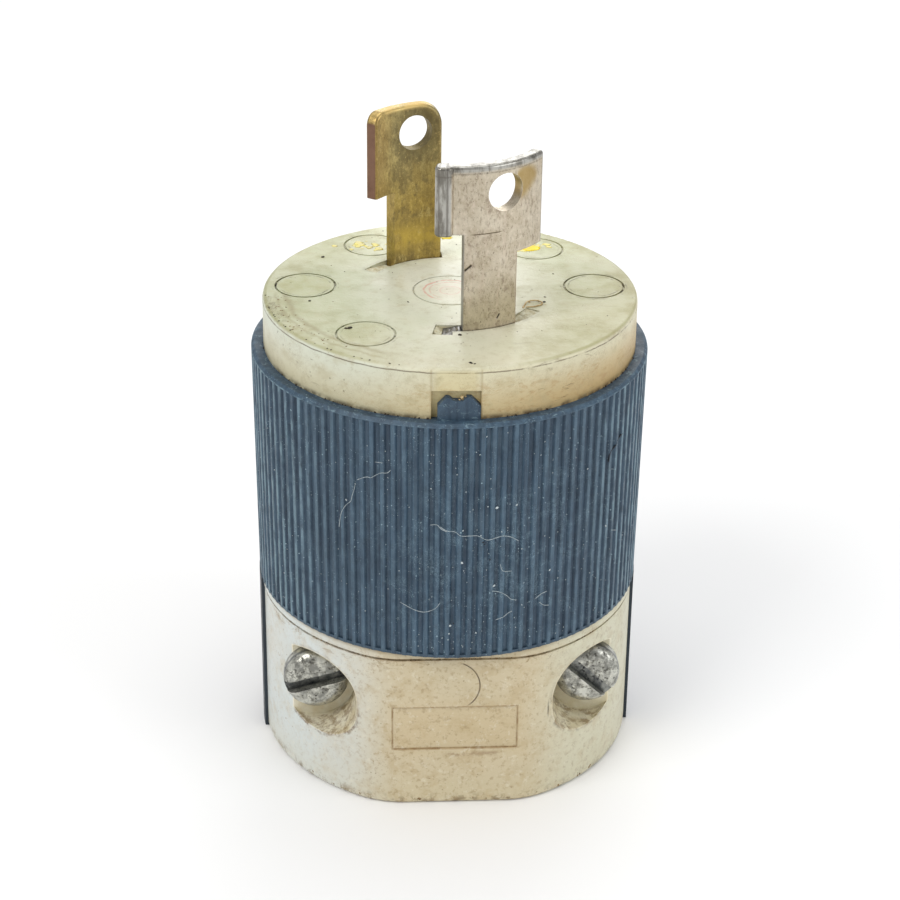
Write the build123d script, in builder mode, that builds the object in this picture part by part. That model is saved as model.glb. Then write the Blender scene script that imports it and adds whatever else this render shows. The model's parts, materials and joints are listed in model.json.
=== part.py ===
from build123d import *
import os
from math import sin, cos, radians, degrees, sqrt, acos, pi

os.makedirs("parts", exist_ok=True)

# ---- driving dimensions, millimetres, +Z up through the blades, front flat at -Y ----
Z_CLAMP_TOP = 18.32        # underside of the grip sleeve, top of the cord clamp
Z_FLOOR = 21.3             # inner floor of the housing
Z_RIM = 43.96              # upper rim of the grip sleeve
Z_FACE = 49.15             # plug face
R_GRIP_LOW = 19.67         # over the ribs at the sleeve's lower edge
R_GRIP_TOP = 19.94         # over the ribs at the sleeve's upper edge
RIB_COUNT = 116
RIB_DEPTH = 0.26
Z_RIB_TOP = 43.58
R_CAVITY = 17.90
R_REAR = 19.73             # rear clamp half, moulded with the housing
R_FRONT = 19.40            # front clamp half
Y_JOINT = -3.10            # parting plane between the clamp halves
Y_FLAT = -18.13            # flat on the front clamp half
R_CORD = 6.00              # cord inlet
R_CHAMBER = 7.40           # widened cord chamber behind the mouth
R_DISC = 18.70             # face disc
R_SPIGOT = 17.70           # what goes inside the sleeve
Z_SPLIT = 36.00            # joint between face body and terminal block
Z_BLOCK = 26.50            # underside of the terminal block
BLADE_RI, BLADE_RO = 8.70, 9.98
SLOT_RI, SLOT_RO = 8.60, 10.08
X_CS, Z_CS = 13.90, 11.40  # clamp screw axes
Y_SEAT = -10.60            # floor of the screw head pockets
R_CS = 2.05                # clamp screw shank
R_CHEAD = 3.35             # clamp screw head
Y_AS = 13.20               # assembly screws, front and rear
R_AS = 1.75
R_AHEAD = 2.80
KEY_ANG, KEY_W = -91.2, 4.70
TAB_ANG, TAB_W, Z_TAB = -90.4, 4.05, 46.30


def polar(r, a):
    return (r * cos(radians(a)), r * sin(radians(a)))


def toothed(r):
    """Closed outline of the ribbed sleeve: one narrow rib and one flat-bottomed groove per pitch."""
    pts = []
    step = 360.0 / RIB_COUNT
    for k in range(RIB_COUNT):
        a = k * step
        pts.append(polar(r, a - 0.17 * step))
        pts.append(polar(r, a + 0.17 * step))
        pts.append(polar(r - RIB_DEPTH, a + 0.34 * step))
        pts.append(polar(r - RIB_DEPTH, a + 0.66 * step))
    return pts


def strip(r0, r1, a0, a1):
    """An arc-shaped strip with true arcs, added to the sketch that is open."""
    m = 0.5 * (a0 + a1)
    outer = Edge.make_three_point_arc(polar(r1, a0) + (0,), polar(r1, m) + (0,), polar(r1, a1) + (0,))
    inner = Edge.make_three_point_arc(polar(r0, a1) + (0,), polar(r0, m) + (0,), polar(r0, a0) + (0,))
    end_a = Edge.make_line(polar(r1, a1) + (0,), polar(r0, a1) + (0,))
    end_b = Edge.make_line(polar(r0, a0) + (0,), polar(r1, a0) + (0,))
    add(Face(Wire([outer, end_a, inner, end_b])))


# ---------------------------------------------------------------- grip housing
with BuildPart() as grip_housing:
    # ribbed sleeve, slightly wider at the top
    with BuildSketch(Plane.XY.offset(Z_CLAMP_TOP)):
        with BuildLine():
            Polyline(*toothed(R_GRIP_LOW), close=True)
        make_face()
    with BuildSketch(Plane.XY.offset(Z_RIB_TOP)):
        with BuildLine():
            Polyline(*toothed(R_GRIP_TOP), close=True)
        make_face()
    loft(ruled=True)
    # smooth, bevelled rim above the ribs
    with BuildSketch(Plane.XZ):
        with BuildLine():
            Polyline((0, Z_RIB_TOP), (R_GRIP_TOP, Z_RIB_TOP), (R_GRIP_TOP, Z_RIM - 0.32),
                     (R_GRIP_TOP - 0.32, Z_RIM), (0, Z_RIM), close=True)
        make_face()
    revolve(axis=Axis.Z)
    # narrow smooth band that closes the grooves at the lower edge
    with BuildSketch(Plane.XY.offset(Z_CLAMP_TOP)):
        Circle(R_GRIP_LOW - 0.05)
    extrude(amount=0.30)
    # rear clamp half below the sleeve
    with BuildSketch(Plane.XY):
        Circle(R_REAR)
        with Locations((0, Y_JOINT - 25)):
            Rectangle(60, 50, mode=Mode.SUBTRACT)
    extrude(amount=Z_CLAMP_TOP)
    # main cavity
    with BuildSketch(Plane.XY.offset(Z_FLOOR)):
        Circle(R_CAVITY)
    extrude(amount=30, mode=Mode.SUBTRACT)
    # cord inlet with a widened chamber
    with BuildSketch(Plane.XY):
        Circle(R_CORD)
    extrude(amount=Z_FLOOR, mode=Mode.SUBTRACT)
    with BuildSketch(Plane.XY.offset(5.0)):
        Circle(R_CHAMBER)
    extrude(amount=10.6, mode=Mode.SUBTRACT)
    # grip ridges in the rear half of the chamber
    for zr in (7.0, 9.6, 12.2):
        with BuildSketch(Plane.XY.offset(zr)):
            strip(R_CORD + 0.6, R_CHAMBER + 0.3, -10, 190)
        extrude(amount=1.1)
    # assembly screws: hole through the floor, well in the rear half
    with BuildSketch(Plane.XY):
        with Locations((0, Y_AS), (0, -Y_AS)):
            Circle(R_AS + 0.2)
    extrude(amount=Z_FLOOR, mode=Mode.SUBTRACT)
    with BuildSketch(Plane.XY):
        with Locations((0, Y_AS)):
            Circle(R_AHEAD + 0.35)
    extrude(amount=Z_CLAMP_TOP, mode=Mode.SUBTRACT)
    # clamp screw holes and nut pockets
    with BuildSketch(Plane.XZ):
        with Locations((X_CS, Z_CS), (-X_CS, Z_CS)):
            Circle(R_CS + 0.2)
    extrude(amount=-30, mode=Mode.SUBTRACT)
    with BuildSketch(Plane.XZ):
        with Locations((X_CS, Z_CS), (-X_CS, Z_CS)):
            Circle(R_CS + 0.2)
    extrude(amount=6, mode=Mode.SUBTRACT)
    with BuildSketch(Plane.XZ.offset(-6.6)):
        with Locations((X_CS, Z_CS), (-X_CS, Z_CS)):
            Rectangle(6.9, 6.9)
    extrude(amount=-20, mode=Mode.SUBTRACT)
    # key tab standing on the rim
    with BuildSketch(Plane(origin=(*polar(18.12, TAB_ANG), 0),
                           x_dir=(-sin(radians(TAB_ANG)), cos(radians(TAB_ANG)), 0),
                           z_dir=(cos(radians(TAB_ANG)), sin(radians(TAB_ANG)), 0))):
        with BuildLine():
            h = TAB_W / 2
            Polyline((-h, Z_RIM - 0.8), (h, Z_RIM - 0.8), (h, Z_TAB - 0.9), (h - 0.85, Z_TAB - 0.02),
                     (0.75, Z_TAB), (0.35, Z_TAB - 0.38), (-0.55, Z_TAB - 0.34), (-0.9, Z_TAB - 0.04),
                     (-h + 0.8, Z_TAB), (-h, Z_TAB - 0.85), close=True)
        make_face()
    extrude(amount=0.73)
grip_housing.part.label = "grip_housing"
export_step(grip_housing.part, "parts/grip_housing.step")

# ---------------------------------------------------------------- front clamp half
Z_BAND = 17.36


def clamp_outline(grow=0.0):
    """Plan of the front clamp half: round, cut by the flat and by the parting plane."""
    Circle(R_FRONT + grow)
    with Locations((0, Y_FLAT - grow - 10)):
        Rectangle(60, 20, mode=Mode.SUBTRACT)
    fillet(vertices().filter_by(lambda v: v.Y < -15), 9.0)
    with Locations((0, Y_JOINT + 25)):
        Rectangle(60, 50, mode=Mode.SUBTRACT)


with BuildPart() as cord_clamp:
    with BuildSketch(Plane.XY):
        clamp_outline()
    extrude(amount=Z_BAND - 0.26)
    fillet(cord_clamp.faces().sort_by(Axis.Z)[0].edges().filter_by(
        lambda e: e.center().Y < Y_JOINT - 0.5 and e.length > 5), 0.45)
    # narrow groove under the collar
    with BuildSketch(Plane.XY.offset(Z_BAND - 0.26)):
        clamp_outline(-0.22)
    extrude(amount=0.26)
    with BuildSketch(Plane.XY.offset(Z_BAND)):
        clamp_outline(0.05)
    extrude(amount=Z_CLAMP_TOP - 0.06 - Z_BAND)
    # cord channel and chamber
    with BuildSketch(Plane.XY):
        Circle(R_CORD)
    extrude(amount=Z_CLAMP_TOP, mode=Mode.SUBTRACT)
    with BuildSketch(Plane.XY.offset(5.0)):
        Circle(R_CHAMBER)
    extrude(amount=10.6, mode=Mode.SUBTRACT)
    for zr in (8.3, 10.9, 13.5):
        with BuildSketch(Plane.XY.offset(zr)):
            strip(R_CORD + 0.6, R_CHAMBER + 0.3, -155, -25)
        extrude(amount=1.1)
    # head pockets cut into the round sides, a little longer downward
    with BuildSketch(Plane.XZ.offset(-Y_SEAT)):
        for sx in (-1, 1):
            with Locations((sx * X_CS, Z_CS - 0.55)):
                SlotCenterToCenter(1.1, 8.0, rotation=90)
    extrude(amount=15, mode=Mode.SUBTRACT)
    with BuildSketch(Plane.XZ):
        with Locations((X_CS, Z_CS), (-X_CS, Z_CS)):
            Circle(R_CS + 0.2)
    extrude(amount=20, mode=Mode.SUBTRACT)
    # room for the front assembly screw head
    with BuildSketch(Plane.XY.offset(15.2)):
        with Locations((0, -Y_AS)):
            Circle(R_AHEAD + 0.35)
    extrude(amount=5, mode=Mode.SUBTRACT)
    # shallow plain label panel on the flat
    with BuildSketch(Plane.XZ.offset(-Y_FLAT - 0.16)):
        with Locations((-0.05, 9.1)):
            Rectangle(12.6, 4.95)
    extrude(amount=3, mode=Mode.SUBTRACT)
cord_clamp.part.label = "cord_clamp"
export_step(cord_clamp.part, "parts/cord_clamp.step")

# ---------------------------------------------------------------- face body
with BuildPart() as face_body:
    with BuildSketch(Plane.XY.offset(Z_SPLIT)):
        Circle(R_SPIGOT)
    extrude(amount=Z_RIM - Z_SPLIT)
    with BuildSketch(Plane.XY.offset(Z_RIM)):
        Circle(R_DISC)
    extrude(amount=Z_FACE - Z_RIM)
    fillet(face_body.faces().sort_by(Axis.Z)[-1].edges(), 0.45)
    # keyway in the disc's side: deep at the rim, shallow above
    kp = Plane(origin=(0, 0, 0), x_dir=(-sin(radians(KEY_ANG)), cos(radians(KEY_ANG)), 0),
               z_dir=(cos(radians(KEY_ANG)), sin(radians(KEY_ANG)), 0))
    with BuildSketch(kp.offset(18.05)):
        with Locations((0, 0.5 * (Z_RIM - 1.2 + 46.87))):
            Rectangle(KEY_W, 46.87 - Z_RIM + 1.2)
    extrude(amount=3, mode=Mode.SUBTRACT)
    with BuildSketch(kp.offset(18.54)):
        with Locations((0, 48.5)):
            Rectangle(KEY_W - 0.2, 4.0)
    extrude(amount=3, mode=Mode.SUBTRACT)
    # blade slots
    with BuildSketch(Plane.XY.offset(Z_SPLIT)):
        strip(SLOT_RI, SLOT_RO, 92.2, 146.6)
        strip(SLOT_RI, SLOT_RO, -102.4, -32.6)
        strip(SLOT_RI, 10.90, -102.4, -91.8)
    extrude(amount=20, mode=Mode.SUBTRACT)
    # shallow moulded rings on the face
    with BuildSketch(Plane.XY.offset(Z_FACE - 0.14)):
        for rr, aa, d in ((14.5, 173.4, 3.1), (14.5, 2.6, 3.1), (13.5, -129.8, 2.95),
                          (14.3, 48.6, 2.95), (14.3, 121.6, 2.95)):
            with Locations(polar(rr, aa)):
                Circle(d)
                Circle(d - 0.22, mode=Mode.SUBTRACT)
    extrude(amount=1, mode=Mode.SUBTRACT)
    with BuildSketch(Plane.XY.offset(Z_FACE - 0.10)):
        Circle(3.75)
        Circle(3.58, mode=Mode.SUBTRACT)
    extrude(amount=1, mode=Mode.SUBTRACT)
    # seats for the threaded inserts
    with BuildSketch(Plane.XY.offset(Z_SPLIT)):
        with Locations((0, Y_AS), (0, -Y_AS)):
            Circle(2.75)
    extrude(amount=7.0, mode=Mode.SUBTRACT)
face_body.part.label = "face_body"
export_step(face_body.part, "parts/face_body.step")

# ---------------------------------------------------------------- terminal block
ANG_HOT, ANG_NEU = 166.0, -14.0
with BuildPart() as terminal_block:
    with BuildSketch(Plane.XY.offset(Z_BLOCK)):
        Circle(R_SPIGOT)
    extrude(amount=Z_SPLIT - Z_BLOCK)
    # legs round the assembly screws, down to the housing floor
    with BuildSketch(Plane.XY.offset(Z_FLOOR)):
        with Locations((0, Y_AS), (0, -Y_AS)):
            Circle(3.6)
    extrude(amount=Z_BLOCK - Z_FLOOR + 0.5)
    with BuildSketch(Plane.XY.offset(Z_FLOOR - 1)):
        with Locations((0, Y_AS), (0, -Y_AS)):
            Circle(R_AS + 0.2)
    extrude(amount=20, mode=Mode.SUBTRACT)
    # terminal chambers, open to the wire space below and at the side
    with BuildSketch(Plane.XY.offset(Z_BLOCK - 1)):
        for aa in (ANG_HOT, ANG_NEU):
            with Locations(Location((*polar(14.2, aa), 0), (0, 0, aa))):
                Rectangle(8.8, 11.6)
    extrude(amount=20, mode=Mode.SUBTRACT)
    # blade seats and room for the screw tips
    with BuildSketch(Plane.XY.offset(27.9)):
        strip(SLOT_RI, SLOT_RO, 92.2, 186.5)
        strip(SLOT_RI, SLOT_RO, -87.4, 6.5)
    extrude(amount=20, mode=Mode.SUBTRACT)
    for aa in (ANG_HOT, ANG_NEU):
        tp = Plane(origin=(0, 0, 31.6), x_dir=(-sin(radians(aa)), cos(radians(aa)), 0),
                   z_dir=(cos(radians(aa)), sin(radians(aa)), 0))
        with BuildSketch(tp.offset(3.6)):
            Circle(2.3)
        extrude(amount=8, mode=Mode.SUBTRACT)
terminal_block.part.label = "terminal_block"
export_step(terminal_block.part, "parts/terminal_block.step")


# ---------------------------------------------------------------- blades
def radial_plane(a, r=0.0, z=0.0):
    """Plane facing outward at angle a: local x is tangential, local y is up."""
    return Plane(origin=(r * cos(radians(a)), r * sin(radians(a)), z),
                 x_dir=(-sin(radians(a)), cos(radians(a)), 0),
                 z_dir=(cos(radians(a)), sin(radians(a)), 0))


Z_TOP = 65.75
Z_FOOT = 28.0
Z_SHOULDER = 35.7
Z_HOLE = 62.85

with BuildPart() as blade_hot:
    with BuildSketch(Plane.XY.offset(Z_FOOT)):
        strip(BLADE_RI, BLADE_RO, 93.2, 186.0)
    extrude(amount=Z_SHOULDER - Z_FOOT)
    with BuildSketch(Plane.XY.offset(Z_SHOULDER)):
        strip(BLADE_RI, BLADE_RO, 93.2, 127.6)
    extrude(amount=57.0 - Z_SHOULDER)
    with BuildSketch(Plane.XY.offset(56.9)):
        strip(BLADE_RI, BLADE_RO, 93.2, 145.6)
    extrude(amount=Z_TOP - 56.9)
    # rounded shoulders of the tip: corner blocks minus their rounds
    for aa, rad, sgn in ((93.2, 2.3, 1), (145.6, 1.3, -1)):
        with BuildSketch(radial_plane(aa)):
            with BuildLine():
                Polyline((0, Z_TOP - rad), (0, Z_TOP + 1), (sgn * rad, Z_TOP + 1), (sgn * rad, Z_TOP))
                RadiusArc((sgn * rad, Z_TOP), (0, Z_TOP - rad), -sgn * rad)
            make_face()
        extrude(amount=14, mode=Mode.SUBTRACT)
    fillet(blade_hot.edges().filter_by(
        lambda e: e.center().Z > 64.6 and abs(e.length - (BLADE_RO - BLADE_RI)) > 0.1), 0.32)
    with BuildSketch(radial_plane(111.7, 0, Z_HOLE)):
        Circle(1.80)
    extrude(amount=14, mode=Mode.SUBTRACT)
    with BuildSketch(radial_plane(ANG_HOT, 0, 31.6)):
        Circle(2.08)
    extrude(amount=14, mode=Mode.SUBTRACT)
blade_hot.part.label = "blade_hot"
export_step(blade_hot.part, "parts/blade_hot.step")

with BuildPart() as blade_neutral:
    # tip first, with its worn upper edges
    with BuildSketch(Plane.XY.offset(59.0)):
        strip(BLADE_RI, BLADE_RO, -100.6, -33.4)
    extrude(amount=Z_TOP - 59.0)
    fillet(blade_neutral.edges().filter_by(
        lambda e: e.center().Z > Z_TOP - 0.05 and e.length > 5), 0.30)
    with BuildSketch(Plane.XY.offset(56.55)):
        strip(BLADE_RI, BLADE_RO, -70.0, -33.4)
    extrude(amount=59.6 - 56.55)
    with BuildSketch(Plane.XY.offset(Z_SHOULDER)):
        strip(BLADE_RI, BLADE_RO, -86.4, -54.0)
    extrude(amount=59.6 - Z_SHOULDER)
    with BuildSketch(Plane.XY.offset(Z_FOOT)):
        strip(BLADE_RI, BLADE_RO, -86.4, 6.0)
    extrude(amount=Z_SHOULDER - Z_FOOT)
    # lip turned outward along the leading edge
    with BuildPart(mode=Mode.PRIVATE) as lip:
        with BuildSketch(Plane.XY.offset(59.0)):
            strip(BLADE_RI + 0.3, 10.75, -102.0, -92.2)
        extrude(amount=Z_TOP + 0.15 - 59.0)
        fillet(lip.edges().filter_by(Axis.Z), 0.62)
        fillet(lip.faces().sort_by(Axis.Z)[-1].edges(), 0.25)
        fillet(lip.faces().sort_by(Axis.Z)[0].edges(), 0.25)
    add(lip.part)
    with BuildSketch(radial_plane(-61.9, 0, Z_HOLE)):
        Circle(1.88)
    extrude(amount=14, mode=Mode.SUBTRACT)
    with BuildSketch(radial_plane(ANG_NEU, 0, 31.6)):
        Circle(2.08)
    extrude(amount=14, mode=Mode.SUBTRACT)
blade_neutral.part.label = "blade_neutral"
export_step(blade_neutral.part, "parts/blade_neutral.step")

# ---------------------------------------------------------------- terminal screws and wire plates
for side, aa in (("hot", ANG_HOT), ("neutral", ANG_NEU)):
    with BuildPart() as wire_plate:
        with BuildSketch(radial_plane(aa, 10.35, 31.6)):
            Rectangle(8.6, 7.2)
            Circle(2.25, mode=Mode.SUBTRACT)
        extrude(amount=1.1)
        fillet(wire_plate.edges().filter_by(lambda e: abs(e.length - 1.1) < 0.01), 0.9)
    wire_plate.part.label = "wire_plate_" + side
    export_step(wire_plate.part, "parts/wire_plate_" + side + ".step")

    with BuildPart() as terminal_screw:
        with BuildSketch(radial_plane(aa, 5.2, 31.6)):
            Circle(2.05)
        extrude(amount=11.45 - 5.2 + 0.2)
        with BuildSketch(radial_plane(aa, 11.45, 31.6)):
            Circle(3.5)
        extrude(amount=2.3)
        fillet(terminal_screw.edges().filter_by(GeomType.CIRCLE).filter_by(
            lambda e: e.radius > 3.4 and sqrt(e.arc_center.X ** 2 + e.arc_center.Y ** 2) > 13), 0.8)
        chamfer(terminal_screw.edges().filter_by(GeomType.CIRCLE).filter_by(
            lambda e: e.radius < 2.1 and sqrt(e.arc_center.X ** 2 + e.arc_center.Y ** 2) < 6), 0.35)
        with BuildSketch(radial_plane(aa, 12.7, 31.6)):
            Rectangle(1.1, 9)
        extrude(amount=3, mode=Mode.SUBTRACT)
    terminal_screw.part.label = "terminal_screw_" + side
    export_step(terminal_screw.part, "parts/terminal_screw_" + side + ".step")

# ---------------------------------------------------------------- clamp screws and nuts
for side, sx, slot_turn in (("left", -1, 15.0), ("right", 1, 43.0)):
    with BuildPart() as clamp_screw:
        with BuildSketch(Plane.XZ.offset(-Y_SEAT)):
            with Locations((sx * X_CS, Z_CS)):
                Circle(R_CHEAD)
        extrude(amount=2.1)
        fillet(clamp_screw.edges().filter_by(GeomType.CIRCLE).sort_by(Axis.Y)[0], 1.15)
        with BuildSketch(Plane.XZ.offset(-Y_SEAT + 0.2)):
            with Locations((sx * X_CS, Z_CS)):
                Circle(R_CS)
        extrude(amount=-20.8)
        chamfer(clamp_screw.edges().filter_by(GeomType.CIRCLE).sort_by(Axis.Y)[-1], 0.4)
        with BuildSketch(Plane.XZ.offset(-Y_SEAT + 0.95)):
            with Locations((sx * X_CS, Z_CS)):
                Rectangle(9, 1.3, rotation=slot_turn if sx < 0 else -slot_turn)
        extrude(amount=3, mode=Mode.SUBTRACT)
    clamp_screw.part.label = "clamp_screw_" + side
    export_step(clamp_screw.part, "parts/clamp_screw_" + side + ".step")

    with BuildPart() as clamp_nut:
        with BuildSketch(Plane.XZ.offset(-6.62)):
            with Locations((sx * X_CS, Z_CS)):
                Rectangle(6.5, 6.5)
                Circle(R_CS + 0.03, mode=Mode.SUBTRACT)
        extrude(amount=-2.4)
        chamfer(clamp_nut.faces().sort_by(Axis.Y)[-1].edges().filter_by(GeomType.LINE), 0.3)
    clamp_nut.part.label = "clamp_nut_" + side
    export_step(clamp_nut.part, "parts/clamp_nut_" + side + ".step")

# ---------------------------------------------------------------- assembly screws and threaded inserts
for side, sy in (("rear", 1), ("front", -1)):
    with BuildPart() as assembly_screw:
        with BuildSketch(Plane.XY.offset(Z_CLAMP_TOP)):
            with Locations((0, sy * Y_AS)):
                Circle(R_AHEAD)
        extrude(amount=-2.2)
        fillet(assembly_screw.edges().filter_by(GeomType.CIRCLE).sort_by(Axis.Z)[0], 0.7)
        with BuildSketch(Plane.XY.offset(Z_CLAMP_TOP - 0.2)):
            with Locations((0, sy * Y_AS)):
                Circle(R_AS)
        extrude(amount=23.8)
        chamfer(assembly_screw.edges().filter_by(GeomType.CIRCLE).sort_by(Axis.Z)[-1], 0.4)
        with BuildSketch(Plane.XY.offset(Z_CLAMP_TOP - 2.3)):
            with Locations((0, sy * Y_AS)):
                Rectangle(9, 0.95, rotation=25)
        extrude(amount=1.15, mode=Mode.SUBTRACT)
    assembly_screw.part.label = "assembly_screw_" + side
    export_step(assembly_screw.part, "parts/assembly_screw_" + side + ".step")

    with BuildPart() as thread_insert:
        with BuildSketch(Plane.XY.offset(Z_SPLIT + 0.05)):
            with Locations((0, sy * Y_AS)):
                Circle(2.72)
                Circle(R_AS + 0.03, mode=Mode.SUBTRACT)
        extrude(amount=6.9)
    thread_insert.part.label = "thread_insert_" + side
    export_step(thread_insert.part, "parts/thread_insert_" + side + ".step")
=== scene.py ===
import bpy, bmesh, json, math, random
from mathutils import Vector, Matrix


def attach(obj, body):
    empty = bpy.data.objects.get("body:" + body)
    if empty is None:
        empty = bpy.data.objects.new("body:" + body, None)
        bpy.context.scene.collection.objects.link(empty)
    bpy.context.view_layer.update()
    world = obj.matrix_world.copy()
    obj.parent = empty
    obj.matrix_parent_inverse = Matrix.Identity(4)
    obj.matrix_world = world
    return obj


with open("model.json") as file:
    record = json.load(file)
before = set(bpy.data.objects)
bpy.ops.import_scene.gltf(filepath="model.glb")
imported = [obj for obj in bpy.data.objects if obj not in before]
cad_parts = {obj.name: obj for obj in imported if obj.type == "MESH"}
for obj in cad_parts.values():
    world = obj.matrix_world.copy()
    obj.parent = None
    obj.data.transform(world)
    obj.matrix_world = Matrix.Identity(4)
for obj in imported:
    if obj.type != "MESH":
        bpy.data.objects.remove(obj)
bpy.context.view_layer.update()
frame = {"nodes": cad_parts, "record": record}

NODES = frame["nodes"]
MM = 0.001
rad = math.radians


def srgb(r, g, b):
    """8-bit display values to linear."""
    out = []
    for c in (r, g, b):
        c = c / 255.0
        out.append(c / 12.92 if c <= 0.04045 else ((c + 0.055) / 1.055) ** 2.4)
    return tuple(out)


# ------------------------------------------------------------------ node helper
class T:
    """Small builder for shader node trees. Sockets and numbers can be mixed."""

    def __init__(self, name):
        self.mat = bpy.data.materials.new(name)
        self.mat.use_nodes = True
        self.nt = self.mat.node_tree
        self.nt.nodes.clear()
        self.out = self.nt.nodes.new("ShaderNodeOutputMaterial")
        self.b = self.nt.nodes.new("ShaderNodeBsdfPrincipled")
        self.nt.links.new(self.b.outputs[0], self.out.inputs[0])
        co = self.nt.nodes.new("ShaderNodeTexCoord")
        sc = self.nt.nodes.new("ShaderNodeVectorMath"); sc.operation = "SCALE"
        sc.inputs["Scale"].default_value = 1000.0
        self.nt.links.new(co.outputs["Object"], sc.inputs[0])
        self.p = sc.outputs[0]
        sp = self.nt.nodes.new("ShaderNodeSeparateXYZ")
        self.nt.links.new(self.p, sp.inputs[0])
        self.x, self.y, self.z = sp.outputs
        self.r = self.m("SQRT", self.add(self.mul(self.x, self.x), self.mul(self.y, self.y)))
        self.a = self.mul(self.m("ARCTAN2", self.y, self.x), 57.29578)

    def put(self, sock, v):
        if hasattr(v, "is_linked") or isinstance(v, bpy.types.NodeSocket):
            self.nt.links.new(v, sock)
        elif isinstance(v, (tuple, list)):
            sock.default_value = tuple(v) + ((1.0,) if len(sock.default_value) == 4 and len(v) == 3 else ())
        else:
            sock.default_value = v

    def m(self, op, a, b=None, c=None, clamp=False):
        n = self.nt.nodes.new("ShaderNodeMath"); n.operation = op; n.use_clamp = clamp
        self.put(n.inputs[0], a)
        if b is not None: self.put(n.inputs[1], b)
        if c is not None: self.put(n.inputs[2], c)
        return n.outputs[0]

    def add(self, a, b): return self.m("ADD", a, b)
    def sub(self, a, b): return self.m("SUBTRACT", a, b)
    def mul(self, a, b): return self.m("MULTIPLY", a, b)
    def mx(self, a, b): return self.m("MAXIMUM", a, b)
    def mn(self, a, b): return self.m("MINIMUM", a, b)
    def ab(self, a): return self.m("ABSOLUTE", a)
    def inv(self, a): return self.m("SUBTRACT", 1.0, a, clamp=True)

    def ss(self, v, lo, hi):
        """Smooth step of v from lo to hi; works downward too when lo > hi."""
        n = self.nt.nodes.new("ShaderNodeMapRange"); n.interpolation_type = "SMOOTHSTEP"
        if lo > hi:
            self.put(n.inputs[0], v)
            n.inputs[1].default_value, n.inputs[2].default_value = hi, lo
            n.inputs[3].default_value, n.inputs[4].default_value = 1.0, 0.0
        else:
            self.put(n.inputs[0], v)
            n.inputs[1].default_value, n.inputs[2].default_value = lo, hi
            n.inputs[3].default_value, n.inputs[4].default_value = 0.0, 1.0
        return n.outputs[0]

    def band(self, v, at, w):
        """1 at v == at, falling to 0 at a distance w."""
        return self.ss(self.ab(self.sub(v, at)), w, 0.0)

    def noise(self, scale, detail=3.0, rough=0.55, stretch=None, off=(0, 0, 0), dist=0.0):
        """Noise; scale is features per millimetre."""
        v = self.p
        if stretch or off != (0, 0, 0):
            mp = self.nt.nodes.new("ShaderNodeMapping")
            self.nt.links.new(v, mp.inputs[0])
            mp.inputs["Location"].default_value = off
            mp.inputs["Scale"].default_value = stretch or (1, 1, 1)
            v = mp.outputs[0]
        n = self.nt.nodes.new("ShaderNodeTexNoise")
        self.nt.links.new(v, n.inputs["Vector"])
        n.inputs["Scale"].default_value = scale
        n.inputs["Detail"].default_value = detail
        n.inputs["Roughness"].default_value = rough
        n.inputs["Distortion"].default_value = dist
        return n.outputs[0]

    def voro(self, scale, stretch=None, off=(0, 0, 0), feature="F1"):
        mp = self.nt.nodes.new("ShaderNodeMapping")
        self.nt.links.new(self.p, mp.inputs[0])
        mp.inputs["Location"].default_value = off
        mp.inputs["Scale"].default_value = stretch or (1, 1, 1)
        n = self.nt.nodes.new("ShaderNodeTexVoronoi"); n.feature = feature
        self.nt.links.new(mp.outputs[0], n.inputs["Vector"])
        n.inputs["Scale"].default_value = scale
        return n.outputs[0]

    def mix(self, f, a, b):
        n = self.nt.nodes.new("ShaderNodeMix"); n.data_type = "RGBA"
        self.put(n.inputs[0], f)
        for s, v in ((n.inputs[6], a), (n.inputs[7], b)):
            self.put(s, v)
        return n.outputs[2]

    def tint(self, col, k):
        n = self.nt.nodes.new("ShaderNodeMix"); n.data_type = "RGBA"; n.blend_type = "MULTIPLY"
        n.inputs[0].default_value = 1.0
        self.put(n.inputs[6], col); self.put(n.inputs[7], k)
        return n.outputs[2]

    def lerp(self, f, a, b):
        n = self.nt.nodes.new("ShaderNodeMix"); n.data_type = "FLOAT"
        self.put(n.inputs[0], f); self.put(n.inputs[2], a); self.put(n.inputs[3], b)
        return n.outputs[0]

    def bump(self, h, dist_mm, strength=1.0, prev=None):
        n = self.nt.nodes.new("ShaderNodeBump")
        n.inputs["Strength"].default_value = strength
        n.inputs["Distance"].default_value = dist_mm * MM
        self.put(n.inputs["Height"], h)
        if prev is not None: self.nt.links.new(prev, n.inputs["Normal"])
        return n.outputs[0]

    def dist2(self, cx, cy, u=None, v=None):
        u = self.x if u is None else u; v = self.y if v is None else v
        dx, dy = self.sub(u, cx), self.sub(v, cy)
        return self.m("SQRT", self.add(self.mul(dx, dx), self.mul(dy, dy)))

    def dash(self, u, v, u0, v0, ang, half, w):
        """Short slanted stroke centred at (u0, v0), ang in degrees from the u axis."""
        c, s = math.cos(rad(ang)), math.sin(rad(ang))
        du, dv = self.sub(u, u0), self.sub(v, v0)
        along = self.ab(self.add(self.mul(du, c), self.mul(dv, s)))
        across = self.sub(self.mul(dv, c), self.mul(du, s))
        return self.mul(self.band(across, 0.0, w), self.ss(along, half, half * 0.6))

    def done(self, color, rough, metal=0.0, normal=None, spec=None, coat=None, coat_r=None):
        self.put(self.b.inputs["Base Color"], color)
        self.put(self.b.inputs["Roughness"], rough)
        self.put(self.b.inputs["Metallic"], metal)
        if normal is not None: self.nt.links.new(normal, self.b.inputs["Normal"])
        if spec is not None: self.b.inputs["Specular IOR Level"].default_value = spec
        if coat is not None: self.b.inputs["Coat Weight"].default_value = coat
        if coat_r is not None: self.b.inputs["Coat Roughness"].default_value = coat_r
        return self.mat


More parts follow.
